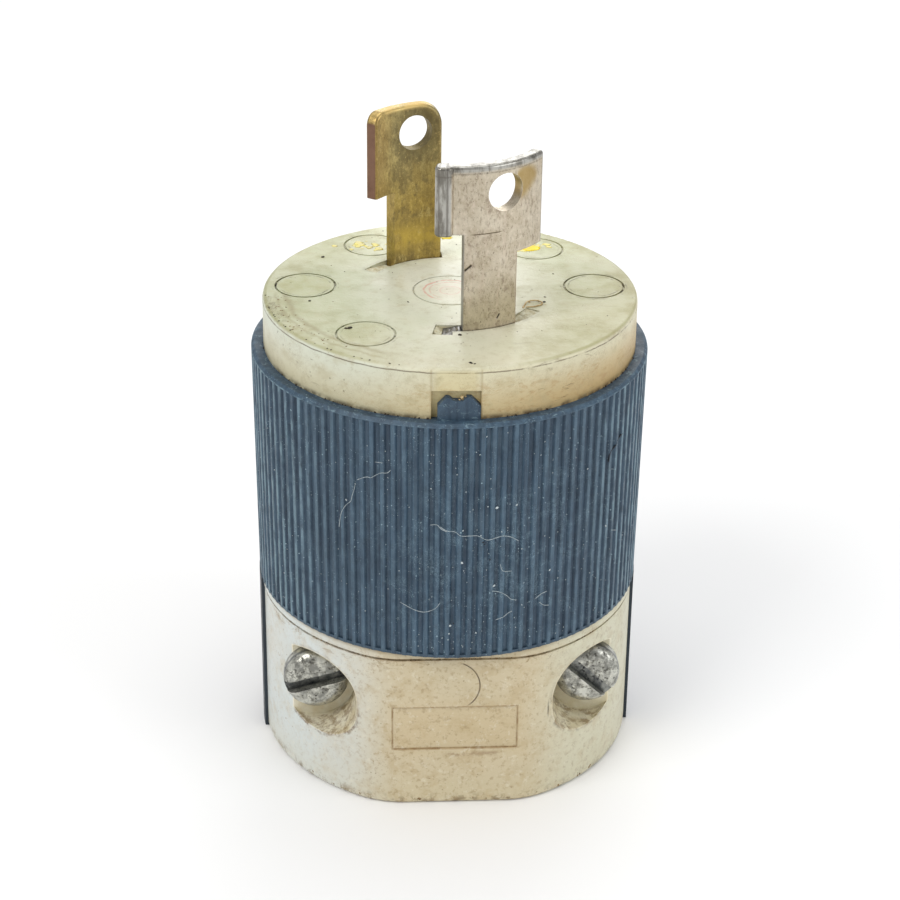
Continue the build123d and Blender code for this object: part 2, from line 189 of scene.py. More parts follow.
# ------------------------------------------------------------------ yellowed face plastic
def face_plastic():
    t = T("ivory_face")
    big = t.noise(0.09, 3, 0.55)
    mid = t.noise(0.35, 4, 0.6, off=(7, 3, 1))
    fine = t.noise(2.4, 3, 0.6, off=(2, 9, 4))
    on_face = t.ss(t.z, 48.85, 49.1)
    cream = srgb(225, 224, 203)
    green = srgb(214, 217, 190)
    face = t.mix(t.ss(big, 0.38, 0.66), cream, green)
    face = t.mix(t.mul(t.ss(mid, 0.5, 0.75), 0.5), face, srgb(203, 200, 172))
    # yellower toward the front right and the rim
    toward = t.ss(t.add(t.mul(t.x, 0.75), t.mul(t.y, -0.66)), -2.0, 17.0)
    rim = t.ss(t.r, 14.0, 18.6)
    face = t.mix(t.mul(toward, 0.55), face, srgb(216, 206, 170))
    face = t.mix(t.mul(rim, t.mul(t.ss(mid, 0.35, 0.65), 0.35)), face, srgb(205, 193, 155))
    # the disc's side: ivory at left, tan at lower right
    side = t.mix(t.ss(t.z, 49.0, 44.2), srgb(228, 222, 198), srgb(214, 198, 160))
    side = t.mix(t.mul(t.ss(t.x, -6.0, 15.0), t.ss(t.z, 48.9, 44.5)), side, srgb(198, 170, 120))
    side = t.mix(t.mul(t.ss(t.noise(0.3, 4, 0.65, stretch=(1, 1, 1.6), off=(1, 1, 8)), 0.5, 0.7), 0.45), side, srgb(196, 178, 138))
    col = t.mix(on_face, side, face)
    # wipes and faint streaks of grime on the face
    streak = t.noise(0.55, 5, 0.7, stretch=(0.5, 2.6, 1), off=(4, 4, 4), dist=0.6)
    col = t.mix(t.mul(t.ss(streak, 0.58, 0.74), t.mul(on_face, 0.35)), col, srgb(176, 168, 138))
    # spots
    v = t.voro(0.9, off=(3, 8, 2))
    gate = t.ss(t.noise(0.22, 2, 0.5, off=(20, 3, 5)), 0.46, 0.6)
    spots = t.mul(t.ss(v, 0.12, 0.05), gate)
    col = t.mix(t.mul(spots, 0.6), col, srgb(120, 104, 78))
    v2 = t.voro(2.3, off=(13, 1, 6))
    col = t.mix(t.mul(t.ss(v2, 0.14, 0.05), t.mul(t.ss(t.noise(0.4, 2, 0.5, off=(9, 9, 1)), 0.5, 0.62), 0.5)), col, srgb(110, 92, 66))
    # dirt lines held in the moulded rings
    dirt = 0.0
    for rr, aa, d, amt in ((14.5, 173.4, 2.99, 0.95), (14.5, 2.6, 2.99, 0.95), (13.5, -129.8, 2.84, 0.48),
                           (14.3, 48.6, 2.84, 0.65), (14.3, 121.6, 2.84, 0.6)):
        cx, cy = rr * math.cos(rad(aa)), rr * math.sin(rad(aa))
        dd = t.add(t.dist2(cx, cy), t.mul(t.sub(t.noise(0.9, 4, 0.7, off=(aa * 0.1, 4, 1)), 0.5), 0.55))
        inner = t.mul(t.band(dd, d - 0.42, 0.13), t.ss(t.noise(0.6, 3, 0.6, off=(aa * 0.1, 9, 2)), 0.42, 0.56))
        outer = t.mul(t.band(dd, d + 0.34, 0.12), t.ss(t.noise(0.6, 3, 0.6, off=(aa * 0.1, 2, 6)), 0.50, 0.62))
        ring = t.mx(t.mul(t.band(t.dist2(cx, cy), d, 0.18), amt), t.mul(t.mx(inner, outer), amt * 0.7))
        dirt = t.mx(dirt, ring)
    for rr, aa, k in ((14.5, 173.4, 0.55), (14.5, 2.6, 0.30), (13.5, -129.8, 0.30)):
        pool = t.ss(t.dist2(rr * math.cos(rad(aa)), rr * math.sin(rad(aa))), 3.0, 2.3)
        col = t.mix(t.mul(t.mul(pool, on_face), t.mul(t.lerp(t.ss(mid, 0.35, 0.6), 0.5, 1.0), k)), col, srgb(206, 202, 156))
    brk = t.ss(t.noise(0.8, 4, 0.7, off=(5, 5, 5)), 0.36, 0.55)
    dirt = t.mul(t.mul(dirt, on_face), t.lerp(brk, 0.12, 1.0))
    ctr = t.mul(t.mul(t.band(t.dist2(0, 0), 3.66, 0.14), 0.35), on_face)
    dirt = t.mx(dirt, ctr)
    col = t.mix(dirt, col, srgb(92, 80, 60))
    # centre mark: worn red arcs and an inner ring
    d0 = t.dist2(0, 0)
    wob = t.add(d0, t.mul(t.sub(t.noise(0.7, 3, 0.6), 0.5), 0.5))
    arcs = t.mx(t.band(wob, 2.55, 0.17), t.mul(t.band(wob, 2.05, 0.13), 0.6))
    arcs = t.mul(arcs, t.mx(t.ss(t.y, 0.0, 1.0), t.mul(t.ss(t.x, -0.6, -1.8), 0.9)))
    arcs = t.mx(arcs, t.mul(t.band(wob, 1.0, 0.13), 0.45))
    arcs = t.mul(t.mul(arcs, on_face), t.ss(t.noise(1.3, 3, 0.6, off=(2, 2, 7)), 0.32, 0.5))
    col = t.mix(t.mul(arcs, 0.62), col, srgb(214, 96, 84))
    blush = t.mul(t.mul(t.ss(d0, 3.4, 0.5), on_face), 0.16)
    col = t.mix(blush, col, srgb(236, 190, 172))
    # grime around the blade slots and along the rim and the keyway
    arc = t.ab(t.sub(t.r, 9.34))
    s1 = t.mul(t.mul(t.ss(t.a, -104.5, -102), t.ss(t.a, -30.5, -33.5)), t.ss(arc, 1.5, 0.75))
    s2 = t.mul(t.mul(t.ss(t.a, 90.5, 92.5), t.ss(t.a, 149.5, 146)), t.ss(arc, 1.4, 0.75))
    nz = t.ss(t.noise(1.1, 4, 0.65, off=(8, 2, 2)), 0.42, 0.62)
    col = t.mix(t.mul(t.mul(t.mx(s1, s2), on_face), t.lerp(nz, 0.08, 0.42)), col, srgb(140, 130, 100))
    wv = t.add(t.z, t.mul(t.sub(t.noise(0.5, 3, 0.6, off=(2, 5, 8)), 0.5), 0.22))
    front_left = t.mul(t.ss(t.a, -80.0, -105.0), t.ss(t.y, 1.0, -2.0))
    rimline = t.mul(t.band(wv, 48.70, 0.11), t.ss(t.r, 18.1, 18.4))
    rimline = t.mul(rimline, t.lerp(t.ss(t.noise(0.45, 4, 0.7, off=(1, 6, 3)), 0.38, 0.55), t.lerp(front_left, 0.05, 0.65), 1.0))
    col = t.mix(t.mul(rimline, 0.85), col, srgb(92, 74, 52))
    # rubbed arcs of grime inside the rim at the front left
    wr = t.add(t.r, t.mul(t.sub(t.noise(0.35, 4, 0.65, off=(8, 8, 2)), 0.5), 1.5))
    arcs2 = t.mx(t.band(wr, 16.3, 0.55), t.mul(t.band(wr, 17.3, 0.30), 0.8))
    arcs2 = t.mul(t.mul(arcs2, t.mul(t.ss(t.a, -108.0, -122.0), t.ss(t.y, 0.5, -1.0))), on_face)
    col = t.mix(t.mul(arcs2, 0.50), col, srgb(168, 152, 112))
    smear = t.mul(t.mul(t.ss(t.r, 16.6, 17.6), t.ss(t.a, -150.0, -162.0)), t.mul(t.ss(t.y, -0.5, -2.0), on_face))
    col = t.mix(t.mul(t.mul(smear, t.ss(t.noise(1.0, 6, 0.8, off=(12, 3, 6), dist=0.8), 0.46, 0.60)), 0.55), col, srgb(128, 114, 84))
    # scratches and ingrained marks over the whole face
    scr = t.noise(0.9, 6, 0.8, stretch=(0.35, 1.6, 1), off=(14, 3, 4), dist=1.5)
    col = t.mix(t.mul(t.ss(t.ab(t.sub(scr, 0.5)), 0.012, 0.0), t.mul(on_face, t.mul(t.ss(mid, 0.50, 0.62), 0.45))), col, srgb(140, 122, 88))
    low = t.mul(t.mul(t.ss(t.z, 44.55, 44.0), t.ss(t.r, 17.9, 18.3)), t.ss(t.noise(0.7, 4, 0.7, off=(3, 3, 3)), 0.34, 0.6))
    col = t.mix(t.mul(low, 0.85), col, srgb(70, 56, 40))
    key = t.mul(t.ss(t.ab(t.sub(t.a, -91.2)), 9.5, 7.0), t.ss(t.r, 18.69, 18.6))
    key = t.mul(key, t.ss(t.y, 0.0, -1.0))
    key = t.mul(key, t.ss(t.z, 49.2, 48.6))
    col = t.mix(t.mul(key, t.lerp(t.ss(t.z, 46.5, 45.5), 0.30, 0.45)), col, srgb(222, 204, 140))
    keyedge = t.mul(t.mul(t.band(t.ab(t.sub(t.a, -91.2)), 7.3, 0.55), t.ss(t.y, 0, -1)), t.mul(t.ss(t.z, 49.1, 48.9), t.ss(t.r, 17.2, 17.6)))
    col = t.mix(t.mul(keyedge, 0.35), col, srgb(150, 122, 66))
    # long scuffs on the side
    scuff = t.noise(0.35, 6, 0.75, stretch=(1.0, 1.0, 5.0), off=(11, 2, 9), dist=1.2)
    sm = t.mul(t.ss(scuff, 0.60, 0.68), t.mul(t.inv(on_face), t.ss(t.noise(0.15, 2, 0.5, off=(6, 1, 3)), 0.45, 0.6)))
    col = t.mix(t.mul(sm, 0.55), col, srgb(126, 102, 68))
    flank = t.mul(t.ss(t.ab(t.x), 3.0, 12.0), on_face)
    col = t.tint(col, t.mix(flank, t.mix(t.ss(t.y, 4.0, 12.0), (0.86, 0.87, 0.90), (0.93, 0.93, 0.93)), (0.575, 0.59, 0.465)))
    col = t.tint(col, t.mix(t.mul(on_face, t.ss(t.y, 5.0, 13.0)), (1, 1, 1), (1.15, 1.15, 1.14)))
    col = t.tint(col, t.mix(t.inv(on_face), (1, 1, 1), t.mix(t.ss(t.x, -12.0, 0.0), (0.95, 1.04, 1.08), (1.0, 0.99, 0.88))))
    mott = t.noise(0.75, 5, 0.7, off=(31, 3, 8))
    col = t.mix(t.mul(t.ss(mott, 0.50, 0.72), 0.38), col, srgb(166, 156, 118))
    mott2 = t.noise(2.1, 4, 0.75, off=(5, 13, 8))
    col = t.mix(t.mul(t.ss(mott2, 0.55, 0.70), 0.22), col, srgb(150, 138, 104))
    gr = t.noise(1.5, 6, 0.82, off=(21, 7, 3), dist=1.3)
    where = t.mx(t.ss(t.x, 2.0, 13.0), t.mul(t.ss(t.r, 14.5, 17.5), 0.7))
    where = t.mul(where, t.ss(t.noise(0.45, 4, 0.6, off=(3, 17, 5)), 0.44, 0.60))
    col = t.mix(t.mul(t.ss(t.ab(t.sub(gr, 0.5)), 0.020, 0.0), t.mul(where, 0.55)), col, srgb(132, 108, 70))
    gr2 = t.noise(0.8, 6, 0.8, stretch=(1, 1, 2.4), off=(2, 27, 13), dist=0.8)
    low_side = t.mul(t.inv(on_face), t.mul(t.ss(t.x, -16.0, 6.0), t.ss(t.z, 48.8, 46.2)))
    col = t.mix(t.mul(t.ss(gr2, 0.50, 0.62), t.mul(low_side, 0.50)), col, srgb(168, 134, 84))
    h = t.add(t.mul(fine, 0.35), t.add(t.mul(mid, 0.5), t.mul(streak, 0.25)))
    nrm = t.bump(h, 0.10, 0.55)
    nrm = t.bump(t.mx(t.mx(spots, dirt), sm), 0.06, 0.6, nrm)
    rough = t.lerp(t.ss(mid, 0.35, 0.7), 0.36, 0.52)
    return t.done(col, rough, 0.0, nrm, spec=0.45)


def clamp_plastic():
    t = T("ivory_clamp")
    big = t.noise(0.08, 3, 0.5, off=(3, 3, 3))
    mid = t.noise(0.4, 4, 0.6, off=(1, 7, 2))
    fine = t.noise(2.6, 3, 0.6, off=(4, 1, 9))
    # cool white at left, beige at the flat, cream at right
    base = t.mix(t.ss(t.x, -13.5, -4.5), srgb(218, 222, 216), srgb(224, 210, 184))
    base = t.mix(t.ss(t.x, 6.5, 14.5), base, srgb(226, 221, 200))
    base = t.mix(t.mul(t.ss(big, 0.45, 0.65), 0.35), base, srgb(214, 202, 176))
    base = t.mix(t.mul(t.ss(t.z, 5.0, 0.5), 0.30), base, srgb(222, 214, 186))
    base = t.mix(t.mul(t.ss(mid, 0.52, 0.72), 0.40), base, srgb(204, 188, 158))
    col = base
    speck = t.mul(t.ss(t.voro(1.5, off=(5, 1, 1)), 0.16, 0.06), t.ss(t.noise(0.25, 2, 0.5, off=(1, 14, 5)), 0.46, 0.58))
    col = t.mix(t.mul(speck, 0.65), col, srgb(140, 116, 82))
    speck2 = t.mul(t.ss(t.voro(3.4, off=(9, 4, 2)), 0.18, 0.07), t.ss(t.noise(0.45, 2, 0.5, off=(7, 4, 5)), 0.5, 0.6))
    col = t.mix(t.mul(speck2, 0.55), col, srgb(122, 98, 66))
    patch = t.ss(t.noise(0.9, 5, 0.75, off=(2, 11, 5), dist=0.5), 0.60, 0.72)
    col = t.mix(t.mul(patch, 0.45), col, srgb(172, 146, 106))
    # dirt under the collar, on the lower edge and round the pockets
    nz = t.ss(t.noise(0.9, 5, 0.75, off=(6, 6, 1)), 0.40, 0.60)
    seam = t.mul(t.band(t.z, 17.2, 0.26), t.lerp(nz, 0.12, 1.0))
    col = t.mix(t.mul(seam, 0.85), col, srgb(128, 100, 66))
    # painted shade: the top of the collar darkens just under the sleeve's overhang
    col = t.mix(t.mul(t.mul(t.ss(t.z, 17.7, 18.25), 1.0), 0.6), col, srgb(150, 132, 98))
    under = t.mul(t.mul(t.ss(t.z, 15.6, 16.7), t.ss(t.z, 17.5, 17.1)), t.ss(t.noise(0.6, 6, 0.8, stretch=(1, 1, 2.2), off=(7, 2, 1), dist=0.6), 0.54, 0.62))
    col = t.mix(t.mul(under, 0.62), col, srgb(146, 118, 76))
    foot = t.mul(t.ss(t.z, 1.5, 0.2), t.ss(t.noise(0.8, 5, 0.78, off=(2, 8, 3)), 0.47, 0.60))
    col = t.mix(t.mul(foot, 0.75), col, srgb(122, 98, 58))
    pocket_light_mask = 0.0
    mouths = 0.0
    for sx in (-1, 1):
        u = t.sub(t.x, sx * 13.9)
        w = t.m("SUBTRACT", t.ab(t.sub(t.z, 10.85)), 0.55)
        w = t.mx(w, 0.0)
        d = t.m("SQRT", t.add(t.mul(u, u), t.mul(w, w)))
        edge = t.band(t.add(d, t.mul(t.sub(t.noise(0.8, 4, 0.7, off=(sx * 5, 1, 3)), 0.5), 0.9)), 4.15, 0.34)
        gate = t.mul(t.ss(t.y, -10.4, -10.9), t.ss(t.noise(0.75, 5, 0.75, off=(sx * 3, 2, 7)), 0.42, 0.60))
        low = t.ss(t.z, 13.0, 7.5)
        col = t.mix(t.mul(t.mul(edge, gate), t.lerp(low, 0.25, 0.85)), col, srgb(112, 86, 54))
        inside = t.mul(t.ss(d, 4.12, 3.98), t.ss(t.y, -10.3, -10.5))
        pocket_light_mask = t.mx(pocket_light_mask, inside)
        lip_d = t.mul(t.band(t.add(d, t.mul(t.sub(t.noise(1.0, 5, 0.75, off=(sx * 7, 3, 1)), 0.5), 0.8)), 3.95, 0.34), t.ss(t.noise(0.9, 5, 0.75, off=(sx * 2, 6, 7)), 0.44, 0.58))
        mouths = t.mx(mouths, t.mul(t.mul(lip_d, t.lerp(t.ss(t.z, 13.5, 8.5), 0.30, 1.0)), t.ss(t.y, -10.6, -11.2)))
        col = t.mix(t.mul(inside, 0.10), col, srgb(216, 202, 168))
        stain = t.mul(inside, t.ss(t.noise(0.8, 4, 0.7, off=(5, sx * 8, 7)), 0.48, 0.64))
        col = t.mix(t.mul(stain, 0.14), col, srgb(170, 140, 92))
    # the bare label panel: brown line along its border
    pu = t.sub(t.ab(t.add(t.x, 0.05)), 6.3)
    pv = t.sub(t.ab(t.sub(t.z, 9.1)), 2.475)
    pd = t.ab(t.mx(pu, pv))
    front = t.ss(t.y, -17.6, -17.85)
    line = t.mul(t.mul(t.ss(pd, 0.16, 0.03), front), t.lerp(nz, 0.5, 1.0))
    col = t.mix(t.mul(line, 0.9), col, srgb(138, 102, 60))
    warm = t.mul(t.ss(t.mx(pu, pv), 1.8, -1.0), front)
    col = t.mix(t.mul(warm, 0.35), col, srgb(216, 192, 152))
    # curved crease and a short dark nick
    cd = t.dist2(-0.45, 14.05, t.x, t.z)
    crease = t.mul(t.mul(t.band(cd, 2.85, 0.10), t.ss(t.x, 0.3, 1.0)), t.mul(front, t.ss(t.z, 11.5, 12.2)))
    col = t.mix(t.mul(crease, 0.9), col, srgb(78, 54, 30))
    nick = t.mul(t.mul(t.band(t.x, 9.45, 0.11), t.band(t.z, 10.4, 1.4)), t.ss(t.y, -14, -15))
    col = t.mix(t.mul(nick, 0.9), col, srgb(60, 44, 28))
    smudge = t.mul(t.mul(t.ss(t.ab(t.sub(t.x, 1.9)), 3.6, 2.2), t.band(t.z, 5.95, 0.55)), t.mul(front, nz))
    col = t.mix(t.mul(smudge, 0.55), col, srgb(140, 104, 66))
    col = t.tint(col, t.mix(t.ss(t.x, -13.0, -5.0), (0.88, 0.90, 0.93), (0.79, 0.78, 0.70)))
    quiet = t.mul(t.lerp(t.ss(t.x, -13.0, -7.0), 0.40, 1.0), t.lerp(t.ss(t.x, 8.0, 12.0), 1.0, 1.5))
    mott = t.noise(0.55, 5, 0.7, off=(31, 3, 8))
    col = t.mix(t.mul(t.mul(t.ss(mott, 0.48, 0.66), 0.42), quiet), col, srgb(178, 156, 114))
    mott2 = t.noise(1.9, 4, 0.7, off=(1, 23, 8))
    col = t.mix(t.mul(t.mul(t.ss(mott2, 0.53, 0.66), 0.46), quiet), col, srgb(152, 128, 90))
    pale = t.noise(1.3, 5, 0.75, off=(17, 3, 2))
    col = t.mix(t.mul(t.ss(pale, 0.55, 0.68), 0.40), col, srgb(222, 216, 196))
    col = t.mix(t.mul(t.ss(t.x, 7.0, 12.0), 0.35), col, srgb(206, 208, 188))
    # painted light: the pocket interiors are mixed back to a lighter cream against the shade that falls in them
    col = t.mix(t.mul(pocket_light_mask, 0.72), col, t.mix(t.ss(mid, 0.35, 0.7), srgb(236, 230, 206), srgb(214, 200, 160)))
    col = t.mix(t.mul(mouths, 0.72), col, srgb(128, 100, 58))
    h = t.add(t.mul(fine, 0.4), t.mul(mid, 0.6))
    nrm = t.bump(h, 0.10, 0.6)
    nrm = t.bump(t.inv(t.mx(crease, nick)), 0.12, 0.9, nrm)
    rough = t.lerp(t.ss(mid, 0.35, 0.7), 0.34, 0.50)
    return t.done(col, rough, 0.0, nrm, spec=0.45)


def slate_plastic():
    t = T("slate_grip")
    mid = t.noise(0.5, 4, 0.6, off=(3, 1, 2))
    fine = t.noise(3.2, 4, 0.65, off=(5, 2, 2))
    long = t.noise(1.0, 4, 0.6, stretch=(1.6, 1.6, 0.12), off=(1, 2, 3))
    base = t.mix(t.ss(long, 0.35, 0.65), srgb(44, 57, 72), srgb(62, 77, 93))
    base = t.mix(t.mul(t.ss(mid, 0.45, 0.72), 0.5), base, srgb(50, 60, 72))
    # worn, paler rib crests
    rr = t.add(19.67, t.mul(t.sub(t.z, 18.32), 0.27 / 25.26))
    crest = t.mul(t.ss(t.sub(t.r, rr), -0.09, -0.01), t.ss(t.z, 18.3, 18.4))
    worn = t.mul(crest, t.ss(t.noise(0.7, 5, 0.7, stretch=(1, 1, 0.35), off=(4, 4, 4)), 0.35, 0.65))
    col = t.mix(t.mul(worn, 0.26), base, srgb(92, 106, 118))
    # painted shade: the grooves between the ribs are darkened
    groove_shade = t.ss(t.sub(t.r, rr), -0.10, -0.24)
    groove_shade = t.mul(groove_shade, t.mul(t.ss(t.z, 18.3, 18.5), t.ss(t.z, 43.6, 43.4)))
    col = t.mix(t.mul(groove_shade, 0.22), col, srgb(34, 42, 54))
    mot = t.noise(1.4, 5, 0.75, stretch=(1, 1, 0.6), off=(3, 13, 7))
    col = t.mix(t.mul(t.ss(mot, 0.50, 0.66), 0.40), col, srgb(34, 42, 52))
    col = t.mix(t.mul(t.ss(mot, 0.44, 0.34), 0.30), col, srgb(88, 102, 114))
    # dust
    d1 = t.mul(t.ss(t.voro(1.7, off=(2, 2, 8)), 0.17, 0.05), t.ss(t.noise(0.4, 3, 0.6, off=(1, 5, 5)), 0.50, 0.62))
    d2 = t.mul(t.ss(t.voro(4.0, off=(8, 1, 8)), 0.20, 0.08), t.ss(t.noise(0.6, 3, 0.6, off=(4, 5, 15)), 0.48, 0.60))
    dust = t.mx(t.mul(d1, 0.75), t.mul(d2, 0.55))
    col = t.mix(dust, col, srgb(168, 178, 184))
    cz = t.noise(1.1, 6, 0.8, off=(7, 12, 3), dist=1.0)
    front_mid = t.mul(t.ss(t.ab(t.sub(t.a, -80.0)), 48.0, 12.0), t.ss(t.ab(t.sub(t.z, 29.0)), 13.0, 4.0))
    crz = t.mul(t.ss(t.ab(t.sub(cz, 0.5)), 0.020, 0.0), t.lerp(front_mid, 0.20, 0.95))
    crz = t.mul(crz, t.ss(t.noise(0.5, 3, 0.6, off=(1, 2, 21)), 0.46, 0.58))
    col = t.mix(t.mul(crz, 0.62), col, srgb(128, 142, 152))
    # painted highlight: the rib crests are lightened toward the sleeve's left and right sides
    side_crest_highlight = t.mul(t.mul(crest, t.ss(t.ab(t.x), 11.0, 17.5)), t.ss(t.noise(0.9, 5, 0.75, stretch=(1, 1, 0.3), off=(4, 14, 9)), 0.44, 0.58))
    col = t.mix(t.mul(side_crest_highlight, 0.40), col, srgb(134, 150, 158))
    haze = t.mul(t.ss(t.noise(0.25, 4, 0.6, off=(9, 5, 1)), 0.5, 0.75), 0.10)
    col = t.mix(haze, col, srgb(120, 132, 142))
    # painted shade: the sleeve's top ledge darkens toward the disc standing on it
    rim = t.mul(t.ss(t.z, 43.58, 43.7), t.ss(t.r, 19.95, 18.9))
    col = t.mix(t.mul(rim, 0.35), col, srgb(40, 48, 60))
    chaf = t.mul(t.ss(t.z, 43.3, 43.6), t.ss(t.noise(1.5, 6, 0.8, stretch=(1, 1, 2), off=(6, 2, 12), dist=0.8), 0.56, 0.64))
    col = t.mix(t.mul(chaf, 0.45), col, srgb(132, 144, 150))
    lowe = t.ss(t.z, 18.9, 18.4)
    col = t.mix(t.mul(lowe, 0.3), col, srgb(44, 50, 58))
    rear = t.ss(t.z, 18.34, 18.28)
    col = t.mix(t.mul(rear, 0.85), col, t.mix(t.ss(mid, 0.35, 0.65), srgb(22, 26, 32), srgb(34, 38, 44)))
    col = t.tint(col, (1.08, 1.32, 1.36))
    h = t.add(t.mul(fine, 0.5), t.mul(long, 0.5))
    nrm = t.bump(h, 0.09, 0.7)
    return t.done(col, t.lerp(t.ss(mid, 0.3, 0.7), 0.42, 0.60), 0.0, nrm, spec=0.42)


def block_plastic():
    t = T("block_nylon")
    mid = t.noise(0.4, 4, 0.6)
    col = t.mix(t.ss(mid, 0.35, 0.7), srgb(202, 192, 164), srgb(176, 162, 130))
    return t.done(col, 0.5, 0.0, t.bump(t.noise(2.5, 3, 0.6), 0.08, 0.5))


def brass_blade():
    t = T("brass_blade")
    mid = t.noise(0.45, 5, 0.65, off=(1, 1, 1))
    fine = t.noise(2.2, 5, 0.7, stretch=(1, 1, 0.5), off=(6, 1, 1))
    strk = t.noise(1.3, 4, 0.65, stretch=(1.5, 1.5, 0.18), off=(2, 2, 2))
    gold = srgb(172, 146, 74)
    olive = srgb(172, 156, 102)
    dark = srgb(84, 72, 46)
    base = t.mix(t.ss(t.z, 55.0, 61.0), gold, olive)
    base = t.mix(t.mul(t.ss(strk, 0.42, 0.66), 0.6), base, srgb(128, 104, 48))
    base = t.mix(t.mul(t.ss(mid, 0.48, 0.62), 0.55), base, dark)
    blot = t.noise(0.9, 5, 0.75, stretch=(1, 1, 0.5), off=(12, 1, 5))
    base = t.mix(t.mul(t.ss(blot, 0.50, 0.66), 0.50), base, srgb(110, 92, 48))
    base = t.mix(t.mul(t.ss(blot, 0.44, 0.34), 0.55), base, srgb(206, 186, 120))
    # tarnish round the hole and across the tip
    hx, hy = 0.0, 62.85
    tang = t.mul(t.mul(t.sub(t.a, 111.7), 0.01745), 9.34)
    hd = t.dist2(0, 62.85, tang, t.z)
    halo = t.ss(t.add(hd, t.mul(t.sub(fine, 0.5), 1.6)), 3.9, 2.1)
    base = t.mix(t.mul(halo, 0.62), base, srgb(70, 62, 42))
    left = t.ss(t.a, 127.0, 141.0)
    base = t.mix(t.mul(t.mul(left, t.ss(t.z, 56.8, 57.4)), 0.55), base, srgb(160, 126, 62))
    speck = t.ss(t.voro(2.4, off=(1, 4, 4)), 0.20, 0.06)
    base = t.mix(t.mul(speck, 0.35), base, dark)
    peppered = t.noise(3.4, 4, 0.8, stretch=(1, 1, 0.7), off=(2, 5, 14))
    base = t.mix(t.mul(t.ss(peppered, 0.53, 0.64), 0.62), base, srgb(92, 74, 40))
    base = t.mix(t.mul(t.ss(peppered, 0.44, 0.34), 0.45), base, srgb(222, 196, 128))
    # painted highlight: a brighter gold band low on the blade
    gleam = t.mul(t.ss(t.z, 49.6, 51.6), t.ss(t.z, 54.2, 51.8))
    base = t.mix(t.mul(t.mul(gleam, t.ss(mid, 0.40, 0.6)), 0.6), base, srgb(214, 182, 70))
    # copper blush on the leading edge and golden wear on the top edge
    edge = t.ss(t.a, 145.2, 145.5)
    base = t.mix(t.mul(edge, 0.90), base, srgb(96, 52, 58))
    top = t.ss(t.z, 65.2, 65.65)
    base = t.mix(t.mul(top, t.lerp(t.ss(mid, 0.4, 0.6), 0.4, 0.9)), base, srgb(214, 184, 116))
    base = t.mix(0.10, base, srgb(236, 220, 170))
    rough = t.lerp(t.ss(mid, 0.35, 0.65), 0.32, 0.52)
    rough = t.lerp(halo, rough, 0.55)
    nrm = t.bump(t.add(t.mul(strk, 0.6), t.mul(fine, 0.5)), 0.05, 0.6)
    nrm = t.bump(t.inv(t.mul(speck, 0.8)), 0.04, 0.6, nrm)
    return t.done(base, rough, 0.92, nrm)


